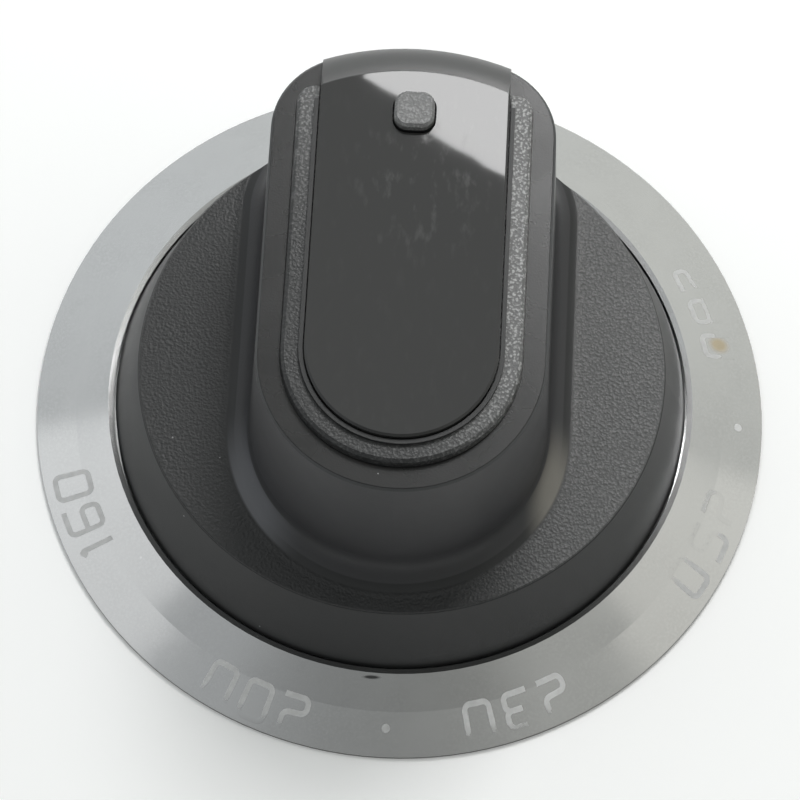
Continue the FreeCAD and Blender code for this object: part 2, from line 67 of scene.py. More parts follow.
class NodeSheet:
    """Places and links the nodes of one shader tree."""

    def __init__(self, tree: bpy.types.NodeTree) -> None:
        """Takes the tree and clears it."""
        self.tree = tree
        tree.nodes.clear()

    def put(self, kind: str, inputs: dict | None = None, **settings: object) -> bpy.types.Node:
        """Adds one node.

        Args:
            kind: Blender's name for the node.
            inputs: Socket names or places, each with a value or the socket that feeds it.
            **settings: Properties of the node.

        Returns:
            The new node.
        """
        node = self.tree.nodes.new(kind)
        for name, value in settings.items():
            setattr(node, name, value)
        self.feed(node, inputs or {})
        return node

    def feed(self, node: bpy.types.Node, inputs: dict) -> None:
        """Sets or links a node's inputs.

        Args:
            node: The node.
            inputs: Socket names or places, each with a value or the socket that feeds it.
        """
        for name, value in inputs.items():
            if isinstance(value, Socket):
                self.tree.links.new(value, node.inputs[name])
            else:
                node.inputs[name].default_value = value

    def math(self, operation: str, first: Socket | float, second: Socket | float = 0.0) -> Socket:
        """Adds a sum.

        Args:
            operation: Blender's name for the sum.
            first: First value.
            second: Second value.

        Returns:
            The result's socket.
        """
        return self.put("ShaderNodeMath", {0: first, 1: second}, operation=operation).outputs[0]

    def rise(self, value: Socket, low: Socket | float, high: Socket | float,
             start: float = 0.0, end: float = 1.0) -> Socket:
        """Adds a smooth step.

        Args:
            value: What is looked at.
            low: Where the step starts.
            high: Where the step is complete.
            start: Result before the step.
            end: Result after the step.

        Returns:
            The result's socket.
        """
        inputs = {"Value": value, "From Min": low, "From Max": high, "To Min": start, "To Max": end}
        node = self.put("ShaderNodeMapRange", inputs, interpolation_type="SMOOTHSTEP")
        return node.outputs["Result"]

    def blend(self, mask: Socket, under: Socket | float, over: Socket | float) -> Socket:
        """Mixes two values by a mask.

        Args:
            mask: 0 for under, 1 for over.
            under: Value where the mask is 0.
            over: Value where the mask is 1.

        Returns:
            The mixed value's socket.
        """
        inputs = {0: mask, 2: under, 3: over}
        return self.put("ShaderNodeMix", inputs, data_type="FLOAT").outputs[0]

    def tint(self, mask: Socket, under: Socket | Colour, over: Socket | Colour) -> Socket:
        """Mixes two colours by a mask.

        Args:
            mask: 0 for under, 1 for over.
            under: Colour where the mask is 0.
            over: Colour where the mask is 1.

        Returns:
            The mixed colour's socket.
        """
        inputs = {0: mask, 6: under, 7: over}
        return self.put("ShaderNodeMix", inputs, data_type="RGBA").outputs[2]

    def noise(self, place: Socket, scale: Socket | float, detail: float = 2.0) -> Socket:
        """Adds soft noise.

        Args:
            place: Where the noise is read.
            scale: Waves per metre.
            detail: Finer octaves.

        Returns:
            The noise's value, about 0.5 on average.
        """
        node = self.put("ShaderNodeTexNoise", {"Vector": place, "Scale": scale, "Detail": detail})
        return node.outputs[0]


class Effect(Enum):
    """Surface effects that several finishes share."""

    GRAIN = "moulded_grain"
    SPECKS = "dust_specks"
    PATCHES = "soft_patches"
    BAND = "height_band"


class EffectRack:
    """Holds each shared effect as one node group, built the first time it is asked for."""

    DOME_SHARE = 0.6
    ROUGH_SHARE = 0.8
    ROUGH_SCALE = 0.8

    def __init__(self) -> None:
        """Starts with no groups."""
        self.groups: dict[Effect, bpy.types.NodeTree] = {}

    def place(self, sheet: NodeSheet, effect: Effect, **inputs: Socket | float) -> Socket:
        """Puts an effect into a material.

        Args:
            sheet: The material's nodes.
            effect: Which effect.
            **inputs: Values for the effect's inputs.

        Returns:
            The effect's output.
        """
        if effect not in self.groups:
            self.groups[effect] = self.build(effect)
        return sheet.put("ShaderNodeGroup", inputs, node_tree=self.groups[effect]).outputs[0]

    def build(self, effect: Effect) -> bpy.types.NodeTree:
        """Builds one effect's node group.

        Args:
            effect: Which effect.

        Returns:
            The group.
        """
        recipes = {
            Effect.GRAIN: (("Place", "Scale"), "Height", self.grain),
            Effect.SPECKS: (("Place", "Scale", "Radius", "Share"), "Mask", self.specks),
            Effect.PATCHES: (("Place", "Scale", "Level", "Softness"), "Mask", self.patches),
            Effect.BAND: (("Value", "Low", "High", "Softness"), "Mask", self.band),
        }
        names, result, recipe = recipes[effect]
        tree = bpy.data.node_groups.new(effect.value, "ShaderNodeTree")
        for name in names:
            kind = "NodeSocketVector" if name == "Place" else "NodeSocketFloat"
            tree.interface.new_socket(name, in_out="INPUT", socket_type=kind)
        tree.interface.new_socket(result, in_out="OUTPUT", socket_type="NodeSocketFloat")
        sheet = NodeSheet(tree)
        ports = sheet.put("NodeGroupInput").outputs
        sheet.put("NodeGroupOutput", {0: recipe(sheet, ports)})
        return tree

    def grain(self, sheet: NodeSheet, ports: bpy.types.NodeOutputs) -> Socket:
        """Spark-eroded grain: small round bumps of uneven height.

        Args:
            sheet: The group's nodes.
            ports: The group's inputs.

        Returns:
            The grain's height.
        """
        bumps = sheet.put("ShaderNodeTexVoronoi", {"Vector": ports["Place"], "Scale": ports["Scale"]},
                          feature="SMOOTH_F1").outputs["Distance"]
        rough = sheet.noise(ports["Place"], sheet.math("MULTIPLY", ports["Scale"], self.ROUGH_SCALE), 3.0)
        domes = sheet.math("SUBTRACT", 1.0, bumps)
        return sheet.math("ADD", sheet.math("MULTIPLY", domes, self.DOME_SHARE),
                          sheet.math("MULTIPLY", rough, self.ROUGH_SHARE))

    def specks(self, sheet: NodeSheet, ports: bpy.types.NodeOutputs) -> Socket:
        """Scattered dust: a share of the cells holds one round speck each.

        Args:
            sheet: The group's nodes.
            ports: The group's inputs.

        Returns:
            1 on a speck, 0 elsewhere.
        """
        cells = sheet.put("ShaderNodeTexVoronoi", {"Vector": ports["Place"], "Scale": ports["Scale"]})
        inside = sheet.math("LESS_THAN", cells.outputs["Distance"], ports["Radius"])
        draw = sheet.put("ShaderNodeSeparateColor", {0: cells.outputs["Color"]}).outputs[0]
        return sheet.math("MULTIPLY", inside, sheet.math("LESS_THAN", draw, ports["Share"]))

    def patches(self, sheet: NodeSheet, ports: bpy.types.NodeOutputs) -> Socket:
        """Soft-edged patches where noise stands above a level.

        Args:
            sheet: The group's nodes.
            ports: The group's inputs.

        Returns:
            1 in a patch, 0 outside.
        """
        value = sheet.noise(ports["Place"], ports["Scale"], 4.0)
        low = sheet.math("SUBTRACT", ports["Level"], ports["Softness"])
        high = sheet.math("ADD", ports["Level"], ports["Softness"])
        return sheet.rise(value, low, high)

    def band(self, sheet: NodeSheet, ports: bpy.types.NodeOutputs) -> Socket:
        """Soft-edged band between two values.

        Args:
            sheet: The group's nodes.
            ports: The group's inputs.

        Returns:
            1 in the band, 0 outside.
        """
        value, soft = ports["Value"], ports["Softness"]
        steps = []
        for limit in ("Low", "High"):
            low = sheet.math("SUBTRACT", ports[limit], soft)
            high = sheet.math("ADD", ports[limit], soft)
            steps.append(sheet.rise(value, low, high))
        return sheet.math("SUBTRACT", steps[0], steps[1])


class Surface:
    """One material under way: its nodes, the piece's own coordinates and its shader."""

    def __init__(self, name: str, effects: EffectRack) -> None:
        """Makes an empty material.

        Args:
            name: The material's name.
            effects: Shared effects.
        """
        self.material = bpy.data.materials.new(name)
        self.material.use_nodes = True
        self.effects = effects
        self.sheet = NodeSheet(self.material.node_tree)
        self.shader = self.sheet.put("ShaderNodeBsdfPrincipled")
        self.sheet.put("ShaderNodeOutputMaterial", {"Surface": self.shader.outputs[0]})
        self.place = self.sheet.put("ShaderNodeTexCoord").outputs["Object"]
        _, self.along, self.up = self.sheet.put("ShaderNodeSeparateXYZ", {0: self.place}).outputs

    def effect(self, effect: Effect, **inputs: Socket | float) -> Socket:
        """Places a shared effect, read on the piece's own coordinates unless told otherwise.

        Args:
            effect: Which effect.
            **inputs: Values for the effect's inputs.

        Returns:
            The effect's output.
        """
        if effect is not Effect.BAND:
            inputs.setdefault("Place", self.place)
        return self.effects.place(self.sheet, effect, **inputs)

    def spot(self, centre: Vector, reach: Vector, softness: float) -> Socket:
        """Masks an ellipsoid.

        Args:
            centre: Its middle.
            reach: Its half sizes.
            softness: Share of the reach over which the mask fades.

        Returns:
            1 inside, 0 outside.
        """
        inputs = {"Vector": self.place, "Location": centre, "Scale": reach}
        local = self.sheet.put("ShaderNodeMapping", inputs, vector_type="TEXTURE").outputs[0]
        far = self.sheet.put("ShaderNodeVectorMath", {0: local}, operation="LENGTH").outputs["Value"]
        return self.sheet.rise(far, 1.0 - softness, 1.0 + softness, 1.0, 0.0)

    def feed(self, **inputs: Socket | float | Colour) -> None:
        """Sets the shader's inputs.

        Args:
            **inputs: Socket names with underscores for spaces, each with a value or a socket.
        """
        self.sheet.feed(self.shader, {name.replace("_", " "): value for name, value in inputs.items()})

    def bump(self, height: Socket, strength: float, depth: float, under: Socket | None = None) -> Socket:
        """Turns a height into a normal.

        Args:
            height: Height over the surface, from 0 to 1.
            strength: How strongly it shows.
            depth: The height's size in metres.
            under: A normal that lies under it.

        Returns:
            The bumped normal.
        """
        inputs = {"Height": height, "Strength": strength, "Distance": depth}
        if under is not None:
            inputs["Normal"] = under
        return self.sheet.put("ShaderNodeBump", inputs).outputs[0]


@dataclass(frozen=True)
class BlackMoulding:
    """Satin black plastic, finely grained on the plinth's floor, the rail and the nub. Its colour also
    holds painted light: a painted sheen on the walls, the right-hand side, the nub top and grain glints,
    painted highlights on the shoulder's edge and the foot fillet, and painted shade on the shoulder.
    """

    black: float = 0.018
    coolness: float = -0.03
    tone_shares: Point = (0.9, 1.15)
    # Painted shade: the shoulder's top is painted darker than the rest, for how the light falls on it.
    shoulder_shade_share: float = 0.5
    dust: float = 0.25
    # Painted sheen: grey painted over the grained floor and rail towards the lit right-hand side.
    sheen_grey: float = 0.185
    # Painted glints: near-white grain tops on the lit side.
    glint_grey: float = 0.6
    # Painted sheen: a lighter grey painted on the nub's grained top.
    nub_sheen_grey: float = 0.28
    # Painted reflection: the grip's walls are painted a lighter bluish grey for the light they reflect.
    wall_sheen: Colour = (0.036, 0.036, 0.038, 1.0)
    # Painted highlight: a lighter grey along the chamfer at the shoulder's edge.
    edge_highlight: float = 0.055
    # Painted highlights: lighter crescents on the foot fillet at the left and right front, for lamps
    # reflected there.
    left_crescent_colour: Colour = (0.105, 0.107, 0.116, 1.0)
    right_crescent_colour: Colour = (0.16, 0.152, 0.135, 1.0)
    smooth_gloss: float = 0.4
    shoulder_gloss: float = 0.25
    grain_gloss: float = 0.4
    tone_gloss: float = 0.06
    grain_scale: float = 5200.0
    grain_depth: float = 0.05 * MM
    fine_scale: float = 6500.0
    fine_share: float = 0.12
    shine: float = 0.38
    band_softness: float = 0.03 * MM
    floor_band: Point = (8.83 * MM, 8.95 * MM)
    foot_band: Point = (8.98 * MM, 10.2 * MM)
    wall_band: Point = (9.2 * MM, 22.5 * MM)
    edge_band: Point = (22.56 * MM, 22.71 * MM)
    shoulder_band: Point = (22.72 * MM, 22.82 * MM)
    rail_band: Point = (22.85 * MM, 23.65 * MM)
    nub_band: Point = (24.4 * MM, 27.0 * MM)
    # Painted light: the lit side grows towards the right rear, where the key lamp stands.
    lit_side: Triple = (1.0, 0.6, 0.0)
    lit_side_edges: Point = (-8.0 * MM, 10.0 * MM)
    lit_side_least: float = 0.08
    # Painted glints: which grain tops, and what share of them on floor, rail and nub, are painted
    # near-white.
    glint_heights: Point = (0.7, 0.95)
    floor_glints: float = 0.1
    rail_glints: float = 0.55
    nub_glints: float = 0.2
    # Painted sheen shares for floor, rail and nub top.
    floor_sheen: float = 0.28
    rail_sheen: float = 0.65
    nub_sheen_share: float = 0.5
    crescent_softness: float = 0.7
    left_crescent: Triple = (-10.4 * MM, -11.3 * MM, 9.4 * MM)
    left_reach: Triple = (2.8 * MM, 4.6 * MM, 2.0 * MM)
    right_crescent: Triple = (11.5 * MM, -9.6 * MM, 9.3 * MM)
    right_reach: Triple = (1.5 * MM, 3.6 * MM, 1.6 * MM)

    def material(self, effects: EffectRack) -> bpy.types.Material:
        """Makes the material.

        Args:
            effects: Shared effects.

        Returns:
            The material.
        """
        surface = Surface("satin_black_moulding", effects)
        sheet = surface.sheet
        limits = (self.floor_band, self.foot_band, self.wall_band, self.edge_band, self.shoulder_band,
                  self.rail_band, self.nub_band)
        floor, foot, wall, edge, shoulder, rail, nub = (
            surface.effect(Effect.BAND, Value=surface.up, Low=low, High=high, Softness=self.band_softness)
            for low, high in limits)
        grained = sheet.math("ADD", floor, sheet.math("ADD", rail, nub))
        tone = surface.effect(Effect.PATCHES, Scale=220.0, Level=0.5, Softness=0.25)
        dust = surface.effect(Effect.SPECKS, Scale=850.0, Radius=0.055, Share=0.05)
        dark, light = (grey(self.black * share, self.coolness) for share in self.tone_shares)
        # The running colour gathers random tone and the painted sheen, highlights and shade below.
        marking = sheet.tint(tone, dark, light)
        # Painted reflection: lighter bluish grey on the walls.
        marking = sheet.tint(wall, marking, self.wall_sheen)
        # Painted highlight on the shoulder's edge chamfer.
        marking = sheet.tint(edge, marking, grey(self.edge_highlight, self.coolness))
        # Painted shade on the shoulder's top.
        marking = sheet.tint(shoulder, marking, grey(self.black * self.shoulder_shade_share))
        # Painted highlights: two light crescents on the foot fillet.
        crescents = ((self.left_crescent, self.left_reach, self.left_crescent_colour),
                  (self.right_crescent, self.right_reach, self.right_crescent_colour))
        for centre, reach, colour in crescents:
            crescent = surface.spot(Vector(centre), Vector(reach), self.crescent_softness)
            marking = sheet.tint(sheet.math("MULTIPLY", crescent, foot), marking, colour)
        grain = surface.effect(Effect.GRAIN, Scale=self.grain_scale)
        fine = sheet.noise(surface.place, self.fine_scale)
        relief = sheet.blend(grained, sheet.math("MULTIPLY", fine, self.fine_share), grain)
        smooth = sheet.blend(shoulder, self.smooth_gloss, self.shoulder_gloss)
        gloss = sheet.blend(grained, smooth, self.grain_gloss)
        # Painted sheen and painted glints, lighter towards the lit right-hand side.
        aside = sheet.put("ShaderNodeVectorMath", {0: surface.place, 1: self.lit_side},
                          operation="DOT_PRODUCT").outputs["Value"]
        lit_side_mask = sheet.rise(aside, *self.lit_side_edges, self.lit_side_least, 1.0)
        peak_glints = sheet.math("MULTIPLY", sheet.rise(grain, *self.glint_heights), lit_side_mask)
        low_share = sheet.blend(rail, sheet.math("MULTIPLY", floor, self.floor_glints), self.rail_glints)
        share = sheet.blend(nub, low_share, self.nub_glints)
        sheen_share = sheet.blend(rail, sheet.math("MULTIPLY", floor, self.floor_sheen), self.rail_sheen)
        marking = sheet.tint(sheet.math("MULTIPLY", lit_side_mask, sheen_share), marking, grey(self.sheen_grey))
        # Painted sheen on the nub's top.
        marking = sheet.tint(sheet.math("MULTIPLY", nub, self.nub_sheen_share), marking, grey(self.nub_sheen_grey))
        # Painted glints on the grain tops.
        marking = sheet.tint(sheet.math("MULTIPLY", peak_glints, share), marking, grey(self.glint_grey))
        surface.feed(
            Base_Color=sheet.tint(dust, marking, grey(self.dust)),
            Roughness=sheet.math("ADD", gloss, sheet.math("MULTIPLY", tone, self.tone_gloss)),
            Specular_IOR_Level=self.shine,
            Normal=surface.bump(relief, 1.0, self.grain_depth),
        )
        return surface.material


@dataclass(frozen=True)
class GlossInlay:
    """High-gloss black plastic, dusty, smudged below the nub, satin where it rolls down at the rear and
    painted lighter there as a painted sheen.
    """

    black: float = 0.028
    # Painted sheen: the rolled rear is painted a lighter grey.
    roll_sheen: float = 0.08
    dust: float = 0.35
    scuff: float = 0.06
    gloss: float = 0.02
    satin: float = 0.4
    haze_gloss: float = 0.015
    smudge_gloss: float = 0.05
    roll_edges: Point = (16.3 * MM, 16.42 * MM)
    wave: float = 0.013 * MM
    wave_scale: float = 190.0
    wave_strength: float = 0.6
    smudge_turn: Triple = (0.0, 0.0, 0.6)
    smudge_scale: Triple = (1500.0, 650.0, 650.0)
    smudge_levels: Point = (0.52, 0.78)
    smudge_least: float = 0.12
    scuff_centre: Triple = (1.0 * MM, 7.5 * MM, 24.25 * MM)
    scuff_reach: Triple = (4.5 * MM, 5.5 * MM, 3.0 * MM)
    scuff_softness: float = 0.6

    def material(self, effects: EffectRack) -> bpy.types.Material:
        """Makes the material.

        Args:
            effects: Shared effects.

        Returns:
            The material.
        """
        surface = Surface("gloss_black_inlay", effects)
        sheet = surface.sheet
        level = sheet.put("ShaderNodeVectorMath", {0: surface.place, 1: (1.0, 1.0, 0.0)},
                          operation="MULTIPLY").outputs[0]
        radius = sheet.put("ShaderNodeVectorMath", {0: level}, operation="LENGTH").outputs["Value"]
        rolled = sheet.math("MULTIPLY", sheet.rise(radius, *self.roll_edges),
                            sheet.math("GREATER_THAN", surface.along, 0.0))
        dust = surface.effect(Effect.SPECKS, Scale=620.0, Radius=0.05, Share=0.05)
        smeared = sheet.put("ShaderNodeMapping", {
            "Vector": surface.place, "Rotation": self.smudge_turn, "Scale": self.smudge_scale}).outputs[0]
        smudges = sheet.rise(sheet.noise(smeared, 1.0, 4.0), *self.smudge_levels)
        marking = surface.spot(Vector(self.scuff_centre), Vector(self.scuff_reach), self.scuff_softness)
        smudged = sheet.math("MULTIPLY", smudges, sheet.math("MAXIMUM", marking, self.smudge_least))
        haze = surface.effect(Effect.PATCHES, Scale=140.0, Level=0.55, Softness=0.3)
        ripple = sheet.noise(surface.place, self.wave_scale, 1.0)
        gloss = sheet.math("ADD", sheet.blend(rolled, self.gloss, self.satin),
                           sheet.math("MULTIPLY", haze, self.haze_gloss))
        # Painted sheen on the rolled rear.
        clean = sheet.tint(rolled, grey(self.black), grey(self.roll_sheen))
        scuffed = sheet.tint(smudged, clean, grey(self.scuff))
        surface.feed(
            Base_Color=sheet.tint(dust, scuffed, grey(self.dust)),
            Roughness=sheet.math("ADD", gloss, sheet.math("MULTIPLY", smudged, self.smudge_gloss)),
            Normal=surface.bump(ripple, self.wave_strength, self.wave),
        )
        return surface.material


@dataclass(frozen=True)
class SilverCoat:
    """Glossy silver lacquer on plastic, a little wavy, with a stain, a nick in the lip and painted shade
    along the foot of the rim.
    """

    silver: float = 0.59
    spread: float = 0.03
    gloss: float = 0.13
    tone_gloss: float = 0.04
    wave: float = 0.03 * MM
    wave_scale: float = 160.0
    wave_strength: float = 0.5
    flake_scale: float = 5200.0
    flake_levels: Point = (0.4, 0.7)
    flake_relief: float = 0.006
    dust: float = 0.75
    dust_share: float = 0.5
    # Painted shade: a dark band along the foot of the rim, for the shadow under its edge.
    rim_shade: float = 0.1
    rim_shade_edge: Point = (0.2 * MM, 0.36 * MM)
    stain: Colour = (0.36, 0.28, 0.14, 1.0)
    stain_share: float = 0.75
    stain_place: Triple = (75.2, 24.85 * MM, 1.6 * MM)
    stain_reach: Triple = (0.7 * MM, 0.6 * MM, 1.0 * MM)
    stain_softness: float = 0.5
    nick: float = 0.05
    nick_place: Triple = (182.6, 22.3 * MM, 2.9 * MM)
    nick_reach: Triple = (0.6 * MM, 0.12 * MM, 0.4 * MM)
    nick_softness: float = 0.4

    def material(self, effects: EffectRack) -> bpy.types.Material:
        """Makes the material.

        Args:
            effects: Shared effects.

        Returns:
            The material.
        """
        surface = Surface("silver_lacquer", effects)
        sheet = surface.sheet
        tone = surface.effect(Effect.PATCHES, Scale=300.0, Level=0.5, Softness=0.3)
        flake = sheet.noise(surface.place, self.flake_scale, 3.0)
        dust = surface.effect(Effect.SPECKS, Scale=700.0, Radius=0.06, Share=0.04)
        light = grey(self.silver * (1 + self.spread))
        coat = sheet.tint(tone, grey(self.silver * (1 - self.spread)), light)
        coat = sheet.tint(sheet.rise(flake, *self.flake_levels), coat, light)
        # Painted shade along the foot of the rim.
        rim_shade = sheet.rise(surface.up, *self.rim_shade_edge, 1.0, 0.0)
        coat = sheet.tint(rim_shade, coat, grey(self.rim_shade))
        stained = surface.spot(dial_place(*self.stain_place), Vector(self.stain_reach), self.stain_softness)
        nicked = surface.spot(dial_place(*self.nick_place), Vector(self.nick_reach), self.nick_softness)
        coat = sheet.tint(sheet.math("MULTIPLY", dust, self.dust_share), coat, grey(self.dust))
        coat = sheet.tint(sheet.math("MULTIPLY", stained, self.stain_share), coat, self.stain)
        ripple = sheet.noise(surface.place, self.wave_scale)
        relief = sheet.math("ADD", ripple, sheet.math("MULTIPLY", flake, self.flake_relief))
        surface.feed(
            Base_Color=sheet.tint(nicked, coat, grey(self.nick)),
            Metallic=sheet.math("SUBTRACT", 1.0, sheet.math("MAXIMUM", nicked, stained)),
            Roughness=sheet.math("ADD", self.gloss, sheet.math("MULTIPLY", tone, self.tone_gloss)),
            Normal=surface.bump(relief, self.wave_strength, self.wave),
        )
        return surface.material


class Ink(Enum):
    """Two shades of the scale's print: the paler one is on 200, 230 and the dots."""

    PALE = 0.61
    DULL = 0.5


@dataclass(frozen=True)
class ScalePrint:
    """Matte pale grey print, worn through to the silver lacquer."""

    ink: Ink
    silver: float = 0.59
    ink_gloss: float = 0.6
    silver_gloss: float = 0.18
    ragged_scale: float = 2600.0
    ragged: float = 0.7
    gone_levels: Point = (0.1, 0.9)
    mottle_shares: Point = (0.93, 1.05)
    relief: float = 0.01 * MM
    relief_strength: float = 0.15

    def material(self, effects: EffectRack) -> bpy.types.Material:
        """Makes the material.

        Args:
            effects: Shared effects.

        Returns:
            The material.
        """
        surface = Surface(f"{self.ink.name.lower()}_scale_print", effects)
        sheet = surface.sheet
        wear = sheet.put("ShaderNodeAttribute", attribute_name=PRINT_WEAR).outputs["Fac"]
        rough = sheet.noise(surface.place, self.ragged_scale, 3.0)
        ragged = sheet.math("MULTIPLY", sheet.math("SUBTRACT", rough, 0.5), self.ragged)
        gone = sheet.rise(sheet.math("ADD", wear, ragged), *self.gone_levels)
        mottle = surface.effect(Effect.PATCHES, Scale=1800.0, Level=0.5, Softness=0.2)
        ink = sheet.tint(mottle, *(grey(self.ink.value * share) for share in self.mottle_shares))
        surface.feed(
            Base_Color=sheet.tint(gone, ink, grey(self.silver)),
            Metallic=gone,
            Roughness=sheet.blend(gone, self.ink_gloss, self.silver_gloss),
            Normal=surface.bump(rough, self.relief_strength, self.relief),
        )
        return surface.material


@dataclass(frozen=True)
class SpringSteel:
    """Bright spring steel strip with faint rolling lines."""

    steel: float = 0.55
    tarnish_share: float = 0.75
    tarnish_warmth: float = 0.06
    gloss: float = 0.28
    line_gloss: float = 0.15
    line_scale: Triple = (60.0, 60.0, 9000.0)
    line_depth: float = 0.01 * MM
    line_strength: float = 0.3

    def material(self, effects: EffectRack) -> bpy.types.Material:
        """Makes the material.

        Args:
            effects: Shared effects.

        Returns:
            The material.
        """
        surface = Surface("spring_steel", effects)
        sheet = surface.sheet
        stretched = sheet.put("ShaderNodeMapping", {
            "Vector": surface.place, "Scale": self.line_scale}).outputs[0]
        lines = sheet.noise(stretched, 1.0)
        tarnish = surface.effect(Effect.PATCHES, Scale=500.0, Level=0.6, Softness=0.15)
        tarnished = grey(self.steel * self.tarnish_share, self.tarnish_warmth)
        surface.feed(
            Base_Color=sheet.tint(tarnish, grey(self.steel), tarnished),
            Metallic=1.0,
            Roughness=sheet.math("ADD", self.gloss, sheet.math("MULTIPLY", lines, self.line_gloss)),
            Normal=surface.bump(lines, self.line_strength, self.line_depth),
        )
        return surface.material


@dataclass(frozen=True)
class StudioPaper:
    """Plain white paper that the knob lies on, clear from below."""

    white: float = 0.98
    cloud_share: float = 0.99
    gloss: float = 0.9
    shine: float = 0.1
    lift: float = 0.05

    def material(self, effects: EffectRack) -> bpy.types.Material:
        """Makes the material.

        Args:
            effects: Shared effects.

        Returns:
            The material.
        """
        surface = Surface("studio_paper", effects)
        sheet = surface.sheet
        cloud = surface.effect(Effect.PATCHES, Scale=30.0, Level=0.5, Softness=0.4)
        rays = sheet.put("ShaderNodeLightPath").outputs
        mirrored = sheet.math("ADD", rays["Is Glossy Ray"], rays["Is Transmission Ray"])
        seen = sheet.math("ADD", rays["Is Camera Ray"], mirrored)
        below = sheet.put("ShaderNodeNewGeometry").outputs["Backfacing"]
        surface.feed(
            Base_Color=sheet.tint(cloud, grey(self.white), grey(self.white * self.cloud_share)),
            Roughness=self.gloss,
            Specular_IOR_Level=self.shine,
            Emission_Color=grey(1.0),
            Emission_Strength=sheet.math("MULTIPLY", seen, self.lift),
            Alpha=sheet.math("SUBTRACT", 1.0, below),
        )
        return surface.material


def dial_place(angle: float, radius: float, height: float) -> Vector:
    """Gives a point on the dial.

    Args:
        angle: Degrees clockwise from the pointer, seen from above.
        radius: Metres from the axis.
        height: Metres above the panel.

    Returns:
        The point in the part's frame.
    """
    turn = math.radians(angle)
    return Vector((radius * math.sin(turn), radius * math.cos(turn), height))


@dataclass(frozen=True)
class Wear:
    """How far one figure has worn off.

    Args:
        start: Height on the figure, in millimetres, where the fade begins.
        end: Height where it is complete, below start if the foot is worn.
        least: Wear on the best kept part, from 0 to 1.
        most: Wear on the worst kept part.
    """

    start: float = 2.9
    end: float = 3.2
    least: float = 0.0
    most: float = 1.0

    def at(self, height: float) -> float:
        """Gives the wear at a height on the figure."""
        share = (height - self.start) / (self.end - self.start)
        return self.least + (self.most - self.least) * min(1.0, max(0.0, share))


class Glyph(Enum):
    """Strokes of the figures, in millimetres, from the foot's middle; a repeated end closes a stroke."""

    NOUGHT = (((-0.92, 1.4), (-0.92, 2.7), (0.92, 2.7), (0.92, 0.2), (-0.92, 0.2), (-0.92, 1.4)),)
    OPEN_NOUGHT = (((-0.92, 2.5), (-0.92, 0.2), (0.92, 0.2), (0.92, 2.5)),)
    ONE = (((-0.42, 2.3), (0.0, 2.65), (0.0, 0.15)),)
    TWO = (((0.97, 0.2), (-0.92, 0.2), (-0.92, 1.25), (0.75, 1.35), (0.75, 2.5)),)
    THREE = (((-0.92, 0.2), (0.92, 0.2), (0.92, 1.35), (-0.3, 1.35)),
             ((-0.3, 1.35), (0.92, 1.35), (0.92, 2.5), (-0.3, 2.5)))
    FIVE = (((0.92, 2.7), (-0.92, 2.7), (-0.92, 1.4), (0.92, 1.4), (0.92, 0.2), (-0.92, 0.2)),)
    SIX = (((0.95, 2.7), (-0.92, 2.7), (-0.92, 0.2), (0.92, 0.2), (0.92, 1.4), (-0.92, 1.4)),)
    EIGHT = (((0.0, 0.2), (-0.97, 0.2), (-0.97, 1.4), (0.97, 1.4), (0.97, 0.2), (0.0, 0.2)),
             ((-0.97, 1.4), (-0.97, 2.4)), ((0.97, 1.4), (0.97, 2.4)))


@dataclass(frozen=True)
class Figure:
    """One printed figure.

    Args:
        glyph: Its strokes.
        angle: Degrees clockwise from the pointer to its middle.
        wear: How it has worn.
    """

    glyph: Glyph
    angle: float
    wear: Wear


@dataclass(frozen=True)
class ScaleNumber:
    """One number of the temperature scale, tops outwards.

    Args:
        name: The piece's name.
        figures: Its figures.
        foot: Radius of the figures' feet, in metres.
        ink: Its shade.
        slant: Sideways lean for each unit of height.
    """

    name: str
    figures: tuple[Figure, ...]
    foot: float
    ink: Ink
    slant: float = 0.0


